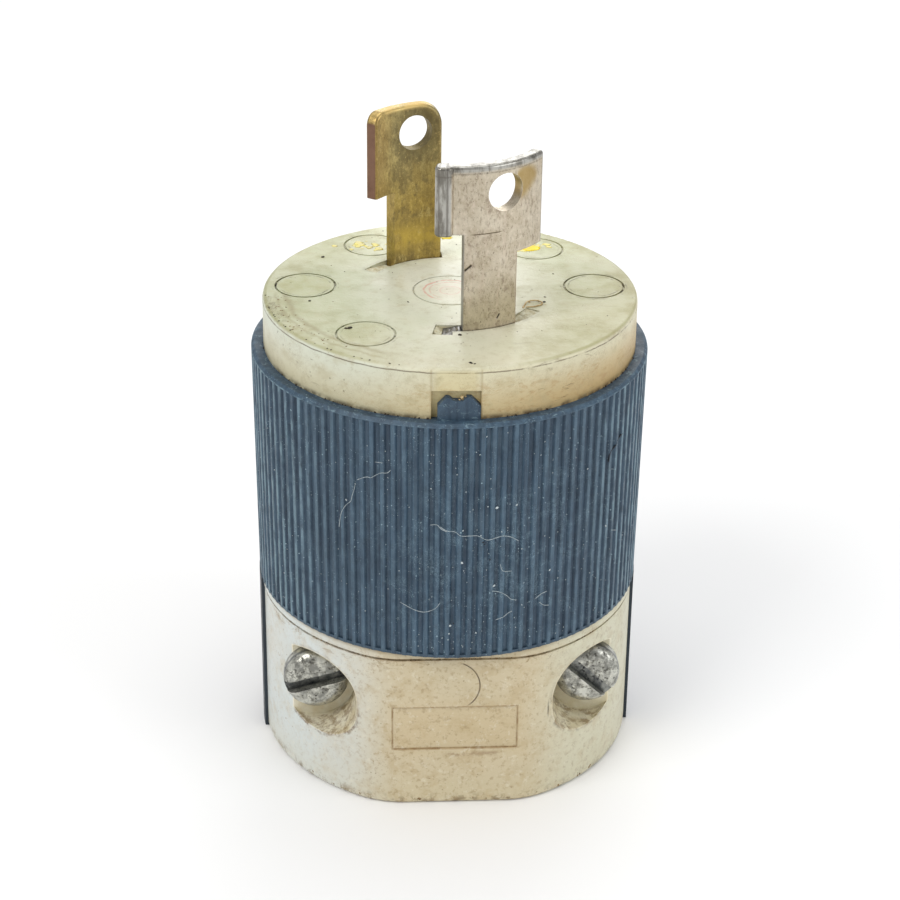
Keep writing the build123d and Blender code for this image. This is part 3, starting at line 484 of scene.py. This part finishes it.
def nickel_blade():
    t = T("nickel_blade")
    mid = t.noise(0.5, 5, 0.65, off=(4, 1, 1))
    fine = t.noise(2.8, 5, 0.72, off=(6, 5, 1))
    strk = t.noise(1.3, 4, 0.65, stretch=(1.5, 1.5, 0.2), off=(2, 7, 2))
    base = t.mix(t.ss(mid, 0.30, 0.70), srgb(206, 196, 176), srgb(190, 178, 156))
    base = t.mix(t.mul(t.ss(t.noise(1.1, 5, 0.75, stretch=(1, 1, 0.6), off=(3, 9, 5)), 0.52, 0.66), 0.40), base, srgb(150, 134, 110))
    base = t.mix(t.mul(t.ss(strk, 0.5, 0.7), 0.35), base, srgb(196, 178, 160))
    speck = t.mul(t.ss(t.voro(3.4, off=(1, 4, 4)), 0.24, 0.08), t.ss(mid, 0.42, 0.52))
    base = t.mix(t.mul(speck, 0.55), base, srgb(104, 88, 74))
    base = t.mix(t.mul(t.ss(fine, 0.58, 0.72), 0.35), base, srgb(128, 112, 98))
    vert = t.noise(3.0, 5, 0.8, stretch=(1, 1, 0.5), off=(3, 14, 4))
    base = t.mix(t.mul(t.ss(vert, 0.52, 0.62), 0.48), base, srgb(124, 106, 92))
    base = t.mix(t.mul(t.ss(vert, 0.45, 0.36), 0.40), base, srgb(228, 214, 200))
    few = t.mul(t.ss(t.voro(1.5, stretch=(1, 1, 0.5), off=(3, 1, 14)), 0.13, 0.05), t.ss(t.noise(0.6, 3, 0.6, off=(2, 2, 12)), 0.48, 0.56))
    base = t.mix(t.mul(few, 0.6), base, srgb(84, 72, 62))
    tabs = t.mul(t.mul(t.sub(t.a, -56.6), 0.01745), 9.34)
    tang = t.mul(t.mul(t.sub(t.a, -61.9), 0.01745), 9.34)
    hd = t.dist2(0, 62.85, tang, t.z)
    # brass showing through beside the hole
    worn = t.mul(t.ss(t.dist2(2.15, 63.4, tang, t.z), 2.0, 1.2), t.ss(t.add(t.z, t.mul(tang, -0.9)), 59.4, 60.9))
    worn = t.mul(worn, t.ss(hd, 1.7, 1.9))
    worn = t.mul(worn, t.ss(t.add(t.mul(tang, 1.0), t.mul(fine, 0.6)), 1.2, 1.6))
    worn = t.mul(worn, t.ss(t.z, 65.2, 64.9))
    base = t.mix(t.mul(worn, 0.85), base, srgb(168, 142, 86))
    # wear line and nicks
    line = t.mul(t.band(t.z, 58.95, 0.08), t.mul(t.mul(t.ss(tabs, -4.3, -3.8), t.ss(tabs, -1.1, -1.6)), t.ss(t.r, 9.6, 9.85)))
    base = t.mix(t.mul(line, 0.75), base, srgb(96, 80, 66))
    nk = t.mx(t.dash(tabs, t.z, -4.42, 55.62, 42, 0.52, 0.16), t.dash(tabs, t.z, -1.48, 50.28, 60, 0.34, 0.12))
    outside = t.ss(t.r, 9.6, 9.85)
    nk = t.mul(nk, outside)
    base = t.mix(nk, base, srgb(42, 36, 32))
    top = t.ss(t.z, 65.0, 65.35)
    lip = t.ss(t.a, -92.5, -94.0)
    lip = t.mul(lip, t.ss(t.z, 58.8, 59.0))
    bright = t.mx(top, lip)
    chrome = t.mix(t.ss(t.noise(1.2, 4, 0.7, stretch=(1, 1, 0.25), off=(5, 5, 5)), 0.40, 0.62), srgb(176, 175, 169), srgb(112, 110, 104))
    # painted shade: two darker stripes along the lip copy the shading of its rounded bead
    lip_shade_stripes = t.mx(t.mul(t.band(t.a, -99.6, 0.9), 0.8), t.band(t.a, -95.3, 1.0))
    chrome = t.mix(t.mul(t.mul(lip_shade_stripes, lip), 0.70), chrome, srgb(78, 74, 70))
    base = t.mix(t.mul(bright, 0.92), base, chrome)
    end_l = t.mul(t.ss(t.a, -85.7, -86.3), t.ss(t.z, 59.2, 58.8))
    base = t.mix(t.mul(end_l, 0.80), base, srgb(122, 124, 126))
    end_r = t.mul(t.ss(t.a, -54.5, -54.1), t.ss(t.z, 56.7, 56.4))
    base = t.mix(t.mul(end_r, 0.65), base, srgb(138, 98, 90))
    hook = t.mul(t.ss(t.a, -34.3, -33.7), t.ss(t.z, 56.4, 56.7))
    base = t.mix(t.mul(hook, 0.70), base, srgb(150, 148, 142))
    # painted shade: a dark line just below the rounded top edge
    under = t.mul(t.band(t.z, 65.02, 0.14), t.lerp(t.ss(fine, 0.40, 0.55), 0.3, 0.9))
    base = t.mix(t.mul(under, 0.60), base, srgb(92, 86, 78))
    rough = t.lerp(t.ss(mid, 0.35, 0.65), 0.30, 0.44)
    rough = t.lerp(bright, rough, 0.29)
    h = t.add(t.mul(fine, 0.5), t.mul(strk, 0.5))
    nrm = t.bump(h, 0.05, 0.6)
    nrm = t.bump(t.inv(t.mx(nk, line)), 0.08, 0.8, nrm)
    return t.done(base, rough, 0.90, nrm)


def screw_metal(name, a, b, dark, rough, cx=None):
    t = T(name)
    mid = t.noise(0.9, 5, 0.7, off=(4, 1, 6))
    fine = t.noise(3.2, 4, 0.7, off=(6, 5, 1))
    col = t.mix(t.ss(mid, 0.36, 0.62), a, b)
    pits = t.mul(t.ss(t.voro(2.2, off=(1, 4, 4)), 0.30, 0.10), t.ss(fine, 0.40, 0.55))
    pits = t.mx(pits, t.mul(t.ss(t.noise(1.6, 5, 0.8, off=(3, 3, 9)), 0.54, 0.64), 0.8))
    col = t.mix(t.mul(pits, 0.75), col, dark)
    if cx is not None:
        # painted shade inside the screw slot
        slot = t.mul(t.ss(t.y, -11.95, -11.7), t.ss(t.y, -11.3, -11.6))
        col = t.mix(t.mul(slot, 0.6), col, srgb(34, 44, 58))
    nrm = t.bump(t.sub(t.mul(mid, 0.6), t.mul(pits, 0.8)), 0.10, 0.8)
    return t.done(col, t.lerp(pits, rough, rough + 0.25), 0.85, nrm)


MAT = {
    "ivory_nylon": face_plastic(),
    "clamp_nylon": clamp_plastic(),
    "slate_nylon": slate_plastic(),
    "block_nylon": block_plastic(),
    "brass_blade": brass_blade(),
    "nickel_blade": nickel_blade(),
    "screw_steel": screw_metal("screw_steel", srgb(208, 208, 198), srgb(132, 132, 126), srgb(40, 38, 36), 0.30, cx=1),
    "zinc_steel": screw_metal("zinc_steel", srgb(176, 176, 170), srgb(140, 140, 134), srgb(84, 80, 74), 0.34),
    "insert_brass": screw_metal("insert_brass", srgb(190, 160, 92), srgb(164, 134, 70), srgb(92, 74, 40), 0.34),
}
SLOT_OF = {s["node"]: s["material_slot"] for s in frame["record"]["subparts"]}
for name, o in NODES.items():
    o.data.materials.clear()
    o.data.materials.append(MAT[SLOT_OF[name]])


# ------------------------------------------------------------------ loose dirt, lint and paint
def mesh_obj(name, verts, faces, mat, smooth=True):
    me = bpy.data.meshes.new(name)
    me.from_pydata(verts, [], faces)
    me.update()
    o = bpy.data.objects.new(name, me)
    bpy.context.scene.collection.objects.link(o)
    for p in me.polygons: p.use_smooth = smooth
    me.materials.append(mat)
    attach(o, "root")
    return o


def simple(name, a, b, rough=0.7):
    t = T(name)
    col = t.mix(t.ss(t.noise(2.0, 3, 0.6), 0.35, 0.65), a, b)
    return t.done(col, rough, 0.0, t.bump(t.noise(5.0, 3, 0.6), 0.05, 0.5))


def tube(points, r, sides=5):
    """Thin closed tube through points."""
    verts, faces = [], []
    n = len(points)
    for i, p in enumerate(points):
        a = points[max(i - 1, 0)]; b = points[min(i + 1, n - 1)]
        d = (b - a).normalized()
        u = d.cross(Vector((0.3, 0.1, 1.0))).normalized(); v = d.cross(u)
        rr = r * (0.55 if i in (0, n - 1) else 1.0)
        for k in range(sides):
            w = 2 * math.pi * k / sides
            verts.append(p + (u * math.cos(w) + v * math.sin(w)) * rr)
    for i in range(n - 1):
        for k in range(sides):
            k2 = (k + 1) % sides
            faces.append((i * sides + k, i * sides + k2, (i + 1) * sides + k2, (i + 1) * sides + k))
    faces.append(tuple(range(sides - 1, -1, -1)))
    faces.append(tuple(range((n - 1) * sides, n * sides)))
    return verts, faces


HAIRS = [
    [(-11.45, -16.20, 31.32), (-11.35, -16.28, 32.25), (-11.15, -16.43, 33.21), (-10.76, -16.70, 34.00), (-10.28, -17.01, 34.59)],
    [(-10.28, -17.01, 34.59), (-10.18, -17.07, 35.17), (-9.99, -17.19, 35.88), (-9.89, -17.26, 36.45)],
    [(-9.70, -17.37, 37.05), (-9.22, -17.63, 37.39), (-8.75, -17.88, 37.62), (-8.38, -18.05, 37.60)],
    [(-8.38, -18.05, 37.60), (-7.91, -18.27, 38.02), (-7.44, -18.47, 38.33), (-6.88, -18.69, 38.44), (-6.50, -18.82, 38.82)],
    [(-5.63, -18.94, 24.40), (-4.96, -19.13, 24.05), (-4.18, -19.31, 23.68), (-3.41, -19.46, 23.53), (-2.74, -19.57, 23.70), (-2.16, -19.64, 24.07), (-1.78, -19.69, 24.65)],
    [(-2.81, -19.66, 33.28), (-2.15, -19.74, 33.32), (-1.76, -19.78, 32.89), (-1.19, -19.81, 32.58)],
    [(-1.86, -19.77, 33.11), (-1.19, -19.82, 32.69), (-0.42, -19.85, 32.58), (0.15, -19.84, 32.13), (1.02, -19.82, 32.10), (1.79, -19.76, 32.05), (2.67, -19.66, 31.54), (3.54, -19.52, 31.67), (4.22, -19.39, 31.80), (5.01, -19.20, 31.57), (5.81, -18.96, 30.98)],
    [(3.64, -19.41, 22.44), (4.43, -19.24, 22.67), (4.92, -19.13, 23.04), (5.31, -19.02, 23.20)],
    [(3.27, -19.51, 25.79), (3.97, -19.37, 25.58), (4.67, -19.21, 25.13), (5.18, -19.08, 24.59), (5.79, -18.90, 24.36)],
    [(8.04, -18.05, 23.58), (8.57, -17.80, 23.08), (9.09, -17.53, 22.91)],
    [(4.00, -19.40, 28.72), (4.31, -19.33, 27.90), (5.20, -19.10, 27.75)],
    [(-8.00, -18.25, 39.40), (-7.25, -18.56, 39.44)],
    [(15.61, -12.18, 28.26), (16.24, -11.33, 27.78)],
    [(7.61, -18.23, 24.04), (8.21, -17.98, 24.45), (8.83, -17.69, 24.60)],
]
SPECKS = [(-10.76, -16.71, 34.55, 1.3), (-9.89, -17.26, 36.56, 0.8), (-2.75, -19.71, 37.19, 0.8), (-4.37, -19.47, 42.50, 0.8), (-8.74, -17.92, 40.94, 0.6), (-9.21, -17.67, 39.65, 0.6), (-14.12, -13.97, 33.69, 0.5), (-11.57, -16.08, 28.81, 0.6), (-0.78, -19.72, 22.05, 1.4), (0.29, -19.81, 29.14, 1.6), (3.57, -19.55, 34.95, 1.7), (5.51, -19.10, 34.99, 1.2), (2.70, -19.69, 35.15, 0.9), (0.98, -19.85, 34.73, 0.8), (1.26, -19.83, 34.93, 0.8), (0.34, -19.85, 32.67, 0.9), (2.08, -19.74, 32.03, 1.0), (3.46, -19.48, 26.33, 1.5), (6.31, -18.72, 23.68, 1.0), (7.26, -18.51, 35.95, 0.8), (2.45, -19.80, 42.66, 0.9), (4.45, -19.46, 42.87, 0.8), (9.06, -17.60, 26.92, 1.2), (12.65, -15.35, 36.80, 1.0), (14.99, -12.96, 29.16, 1.3), (9.00, -17.75, 37.68, 0.7), (6.44, -18.70, 26.15, 0.8), (-0.95, -19.70, 20.44, 0.9), (1.78, -19.65, 21.15, 1.0), (13.40, -14.54, 24.73, 0.8), (15.61, -12.15, 26.08, 0.6), (14.16, -13.72, 20.19, 0.8), (2.92, -19.69, 38.15, 0.7), (9.93, -17.11, 25.71, 0.8), (-17.00, -10.05, 22.76, 1.0), (-17.76, -8.89, 33.86, 0.8), (9.28, -17.51, 29.55, 0.8), (7.33, -18.42, 30.32, 0.8), (8.42, -17.96, 30.92, 0.9), (4.11, -19.42, 32.25, 0.8), (1.33, -19.78, 30.43, 0.6), (6.14, -18.85, 30.03, 0.9), (1.83, -19.85, 40.80, 0.7), (-0.31, -19.91, 38.75, 0.8), (-7.27, -18.38, 24.78, 0.7), (-9.01, -17.57, 22.63, 0.7), (-11.63, -15.96, 22.99, 0.7), (-12.93, -14.91, 21.36, 0.5), (-5.73, -18.95, 27.88, 0.8), (11.02, -16.41, 24.61, 0.6), (11.89, -15.78, 24.11, 0.6), (12.65, -15.22, 26.73, 0.6), (-19.16, -4.99, 27.85, 0.7), (-14.62, -13.52, 38.70, 0.5), (-0.86, -19.71, 21.13, 1.0)]
# worn paint: centre, spread, number of dabs, dab radius, strong (1) or faint (0)
PAINT = [
    (-9.3, 11.8, 1.0, 14, 0.42, 0), (-7.4, 12.0, 0.7, 8, 0.34, 0), (0.3, 14.2, 0.20, 8, 0.36, 1),
    (8.9, 11.1, 0.42, 20, 0.46, 1), (10.3, 11.6, 0.55, 9, 0.34, 0), (8.2, 10.4, 0.25, 6, 0.30, 0),
]
rnd = random.Random(7)
lint = simple("lint", srgb(196, 206, 208), srgb(160, 172, 176), 0.8)
grit = simple("grit", srgb(60, 48, 34), srgb(34, 28, 22), 0.8)
tan_grit = simple("tan_grit", srgb(138, 112, 74), srgb(92, 72, 46), 0.8)
crumb_tan = simple("crumb_tan", srgb(206, 184, 138), srgb(170, 142, 98), 0.8)
packed = simple("packed_dirt", srgb(206, 204, 180), srgb(182, 172, 138), 0.85)
# dark colour for the painted shade in the tear's split and for the rubbed marks
torn = simple("torn_edge", srgb(20, 27, 36), srgb(34, 44, 56), 0.7)
yellow_strong = simple("paint_yellow", srgb(244, 216, 24), srgb(232, 206, 60), 0.55)
yellow_faint = simple("paint_yellow_worn", srgb(236, 224, 130), srgb(226, 216, 158), 0.6)


def smooth_line(pts, steps=6):
    """Catmull-Rom line through pts, in millimetres."""
    P = [Vector(q) for q in pts]
    P = [2 * P[0] - P[1]] + P + [2 * P[-1] - P[-2]]
    out = []
    for i in range(1, len(P) - 2):
        for k in range(steps):
            s = k / steps
            a, b, c, d = P[i - 1], P[i], P[i + 1], P[i + 2]
            out.append(0.5 * ((2 * b) + (c - a) * s + (2 * a - 5 * b + 4 * c - d) * s * s + (3 * b - a - 3 * c + d) * s ** 3))
    out.append(P[-2])
    return out


def join(name, parts, mat):
    verts, faces = [], []
    for v, f in parts:
        n = len(verts)
        verts += [tuple(c * MM for c in q) for q in v]
        faces += [tuple(i + n for i in g) for g in f]
    return mesh_obj(name, verts, faces, mat)


def pebble(c, r, normal, rng, flat=0.6):
    """Small irregular grain lying on a surface."""
    n = Vector(normal).normalized()
    u = n.orthogonal().normalized(); v = n.cross(u)
    a0 = rng.uniform(0, 6.28); sx = rng.uniform(0.7, 1.35)
    verts = []
    for ring, (h, q) in enumerate(((-0.3, 0.75), (0.25, 1.0), (0.75, 0.6))):
        for k in range(6):
            w = a0 + k * math.pi / 3
            rr = r * q * rng.uniform(0.8, 1.2)
            verts.append(Vector(c) + u * (math.cos(w) * rr * sx) + v * (math.sin(w) * rr / sx) + n * (h * r * flat))
    faces = [tuple(range(5, -1, -1)), tuple(range(12, 18))]
    for ring in range(2):
        for k in range(6):
            k2 = (k + 1) % 6
            faces.append((ring * 6 + k, ring * 6 + k2, ring * 6 + 6 + k2, ring * 6 + 6 + k))
    return verts, faces


hairs = []
for h in HAIRS:
    line = smooth_line(h)
    hairs.append(tube(line, 0.024))
join("lint_hairs", hairs, lint)

grains = []
for x, y, z, s in SPECKS:
    rho = math.hypot(x, y)
    k = (rho - 0.05) / rho
    grains.append(pebble((x * k, y * k, z), 0.085 * s, (x, y, 0), rnd))
# finer dust over the lower half of the sleeve, all round
for i in range(420):
    a = rnd.uniform(0, 360) if i % 2 else rnd.gauss(-80, 28)
    z = 19.2 + 23.0 * rnd.random() ** 1.5
    rho = 19.67 + (z - 18.32) / 25.26 * 0.27 - 0.05
    x, y = rho * math.cos(rad(a)), rho * math.sin(rad(a))
    grains.append(pebble((x, y, z), rnd.uniform(0.025, 0.06), (x, y, 0), rnd))
join("dust_grains", grains, lint)


ZF = 49.15


def dabs(strong):
    """Flat, shapeless dabs scattered round the centres of worn paint."""
    out = []
    for cx, cy, spread, n, r, k in PAINT:
        if k != strong: continue
        for i in range(n):
            q = (cx + rnd.gauss(0, spread), cy + rnd.gauss(0, spread * 0.8))
            if abs(math.hypot(*q) - 9.34) < 1.15: continue
            out.append(pebble((q[0], q[1], ZF), r * rnd.uniform(0.4, 1.2), (0, 0, 1), rnd, 0.10))
    return out


join("paint_traces_bright", dabs(1), yellow_strong)
join("paint_traces_worn", dabs(0), yellow_faint)

# grit caught on the face, in the rings and under the rim
bits = []
for x, y, r in ((0.36, -10.92, 0.22), (-10.13, -8.97, 0.26), (-10.5, -9.05, 0.18), (9.12, -3.23, 0.17), (1.01, -17.31, 0.20),
                (1.35, -17.5, 0.12), (-4.31, -2.84, 0.12), (-12.6, 9.05, 0.2), (9.3, -2.0, 0.12), (-14.0, -2.3, 0.16), (10.7, 3.9, 0.1)):
    bits.append(pebble((x, y, ZF), r, (0, 0, 1), rnd, 0.5))
for (rr, aa, d, n) in ((14.5, 173.4, 2.99, 22), (14.5, 2.6, 2.99, 26), (13.5, -129.8, 2.84, 16), (14.3, 48.6, 2.84, 10), (14.3, 121.6, 2.84, 9)):
    cx, cy = rr * math.cos(rad(aa)), rr * math.sin(rad(aa))
    for i in range(n):
        w = rnd.uniform(0, 6.283)
        bits.append(pebble((cx + d * math.cos(w), cy + d * math.sin(w), ZF - 0.09), rnd.uniform(0.04, 0.10), (0, 0, 1), rnd, 0.6))
for i in range(26):
    a = rnd.gauss(-150, 22)
    bits.append(pebble((18.35 * math.cos(rad(a)), 18.35 * math.sin(rad(a)), ZF - 0.03), rnd.uniform(0.04, 0.13), (0, 0, 1), rnd, 0.5))
for i in range(60):
    a = rnd.uniform(0, 360)
    rr = 17.6 * math.sqrt(rnd.random())
    if abs(rr - 9.35) < 1.6: continue
    bits.append(pebble((rr * math.cos(rad(a)), rr * math.sin(rad(a)), ZF), rnd.uniform(0.03, 0.07), (0, 0, 1), rnd, 0.5))
for i in range(90):
    a = rnd.uniform(0, 360)
    bits.append(pebble((18.75 * math.cos(rad(a)), 18.75 * math.sin(rad(a)), 43.99), rnd.uniform(0.05, 0.14), (math.cos(rad(a)), math.sin(rad(a)), 0.8), rnd, 0.6))
join("grit_face", bits, grit)

# grit along the clamp's groove, at its lower edge and at the label panel
bits = []


def clamp_r(a):
    """Radius of the clamp's outline at angle a."""
    s = -math.sin(rad(a))
    flat = 18.13 / s if s > 0.1 else 99.0
    near = max(0.0, 1.0 - abs(abs(a + 90.0) - 20.8) / 8.5)
    return min(19.4, flat) - 0.28 * near * near


for i in range(85):
    a = rnd.uniform(-168, -12)
    rr = clamp_r(a) - 0.10
    bits.append(pebble((rr * math.cos(rad(a)), rr * math.sin(rad(a)), 17.2 + rnd.uniform(-0.08, 0.08)), rnd.uniform(0.05, 0.12), (math.cos(rad(a)), math.sin(rad(a)), 0), rnd, 0.5))
for i in range(34):
    a = rnd.uniform(-140, -40)
    rr = clamp_r(a) - 0.03
    bits.append(pebble((rr * math.cos(rad(a)), rr * math.sin(rad(a)), 0.35 + rnd.uniform(0, 0.35)), rnd.uniform(0.05, 0.15), (math.cos(rad(a)), math.sin(rad(a)), 0), rnd, 0.5))
for i in range(26):
    u = rnd.uniform(-6.3, 6.3); v = rnd.choice((6.62, 11.55))
    bits.append(pebble((u - 0.05, -18.0, v), rnd.uniform(0.03, 0.07), (0, -1, 0), rnd, 0.5))
join("grit_clamp", bits, tan_grit)

# crumb of debris beside the slot, and dirt in the broken top of the tab
crumb = []
ring = [(7.0, -4.35, ZF + 0.04), (7.5, -3.3, ZF + 0.12), (8.5, -3.1, ZF + 0.12), (8.9, -3.8, ZF + 0.08), (8.1, -4.4, ZF + 0.06), (7.2, -4.5, ZF + 0.04)]
crumb.append(tube(smooth_line(ring), 0.065, 6))
for k in range(12):
    q = ring[k % 6]
    crumb.append(pebble((q[0] + rnd.uniform(-0.3, 0.3), q[1] + rnd.uniform(-0.2, 0.2), ZF), rnd.uniform(0.06, 0.16), (0, 0, 1), rnd, 0.5))
for k in range(9):
    crumb.append(pebble((-0.15 + rnd.uniform(-0.75, 0.8), -18.45 + rnd.uniform(-0.12, 0.1), 45.95 + rnd.uniform(-0.3, 0.25)), rnd.uniform(0.10, 0.22), (0, -1, 0.5), rnd, 0.8))
join("crumbs", crumb, crumb_tan)

# dirt packed into the open stretches of the blade slots
def packed_strip(a0, a1, depth0, depth1, rng, n=26):
    """Bumpy filling between the slot walls; depth below the face at each end."""
    verts, faces = [], []
    for i in range(n + 1):
        s = i / n
        a = a0 + (a1 - a0) * s
        top = ZF - (depth0 + (depth1 - depth0) * s * s * (3 - 2 * s))
        for j in range(5):
            r = 8.61 + (10.07 - 8.61) * j / 4
            h = top + (rng.uniform(-0.12, 0.06) if 0 < j < 4 else 0.0)
            verts.append(Vector((r * math.cos(rad(a)), r * math.sin(rad(a)), min(h, ZF - 0.01))))
        for r in (10.07, 8.61):
            verts.append(Vector((r * math.cos(rad(a)), r * math.sin(rad(a)), ZF - 2.2)))
    for i in range(n):
        for j in range(7):
            k = (j + 1) % 7
            faces.append((i * 7 + j, i * 7 + k, (i + 1) * 7 + k, (i + 1) * 7 + j))
    faces.append(tuple(range(6, -1, -1)))
    faces.append(tuple(range(n * 7, n * 7 + 7)))
    return verts, faces


fill = [packed_strip(-53.6, -42.0, 0.60, 0.12, rnd, 18), packed_strip(-42.0, -32.8, 0.12, 0.02, rnd, 12),
        packed_strip(-102.2, -97.8, 0.10, 0.35, rnd, 8), packed_strip(128.0, 146.4, 0.40, 0.06, rnd, 20)]
join("packed_dirt", fill, packed)
join("slot_metal", [packed_strip(-97.6, -86.6, 0.30, 0.03, rnd, 14)], MAT["nickel_blade"])

# small tear through the ribs at the right, drawn as a dark tube of painted shade along the split, and two rubbed marks
# at the front
tear = [(14.97, -13.10, 36.36), (15.14, -12.91, 37.36), (15.70, -12.23, 37.66), (15.91, -11.97, 38.18), (16.59, -11.01, 38.56)]
marks = [tube(smooth_line([tuple(c * 19.82 / math.hypot(q[0], q[1]) if i < 2 else c for i, c in enumerate(q)) for q in tear]), 0.085, 6)]
for x, y, z, s in ((2.29, -19.70, 31.30, 1.5), (2.42, -19.66, 31.05, 1.0), (3.00, -19.59, 29.29, 1.2), (-0.45, -19.66, 22.35, 1.1)):
    k = 19.76 / math.hypot(x, y)
    marks.append(pebble((x * k, y * k, z), 0.10 * s, (x, y, 0), rnd))
join("tear_marks", marks, torn)

# rubbed grime caught unevenly at the front-left edge of the face
scuffs = []
for i in range(46):
    a = rnd.uniform(-178.0, -128.0)
    rr = min(17.4 + rnd.gauss(0, 0.55), 18.15)
    scuffs.append(pebble((rr * math.cos(rad(a)), rr * math.sin(rad(a)), ZF), rnd.uniform(0.03, 0.11), (0, 0, 1), rnd, 0.25))
join("edge_grime", scuffs, tan_grit)

# ------------------------------------------------------------------ stage, light and camera
def stage_mat(name, c, rough):
    t = T(name)
    col = t.mix(t.mul(t.noise(0.02, 2, 0.5), 0.05), c, tuple(v * 0.94 for v in c))
    return t.done(col, rough)


bpy.ops.mesh.primitive_plane_add(size=6.0, location=(0, 0, -0.00003))
floor = bpy.context.object; floor.name = "floor"
floor.data.materials.append(stage_mat("floor_pale", (0.90, 0.90, 0.90), 0.7))

world = bpy.data.worlds.new("studio")
world.use_nodes = True
bpy.context.scene.world = world
world.node_tree.nodes["Background"].inputs[0].default_value = (1.0, 1.0, 1.0, 1)
world.node_tree.nodes["Background"].inputs[1].default_value = 0.50


def area(name, loc, target, sx, sy, power, color=(1, 1, 1)):
    l = bpy.data.lights.new(name, "AREA")
    l.shape = "RECTANGLE"; l.size = sx; l.size_y = sy; l.energy = power; l.color = color
    o = bpy.data.objects.new(name, l)
    o.location = loc
    o.rotation_euler = (Vector(target) - Vector(loc)).to_track_quat("-Z", "Y").to_euler()
    bpy.context.scene.collection.objects.link(o)
    return o


area("key_left", (-0.32, -0.26, 0.42), (0, 0, 0.035), 0.30, 0.30, 1.45, (1.0, 0.985, 0.96))
area("fill_right", (0.40, -0.22, 0.22), (0, 0, 0.03), 0.30, 0.30, 0.75, (0.96, 0.98, 1.0))
area("top_soft", (0.02, 0.10, 0.50), (0, 0, 0.04), 0.40, 0.40, 0.85)
area("rear_rim", (0.10, 0.42, 0.20), (0, 0, 0.035), 0.30, 0.20, 0.5)

cam = bpy.data.cameras.new("camera")
cam.sensor_width = 36.0
cam.lens = 2354.25 / 900.0 * 36.0
cam.shift_x = 0.0021
cam.clip_start = 0.01
co = bpy.data.objects.new("camera", cam)
e, az, D = rad(26.96), rad(-3.4), 0.24299
look = Vector((0, 0, 0.03126))
co.location = look + Vector((D * math.sin(az) * math.cos(e), -D * math.cos(az) * math.cos(e), D * math.sin(e)))
q = (look - co.location).to_track_quat("-Z", "Y")
co.rotation_mode = "QUATERNION"
co.rotation_quaternion = q @ Matrix.Rotation(rad(0.7), 3, "Z").to_quaternion()
bpy.context.scene.collection.objects.link(co)
bpy.context.scene.camera = co
bpy.context.scene.view_settings.view_transform = "Standard"
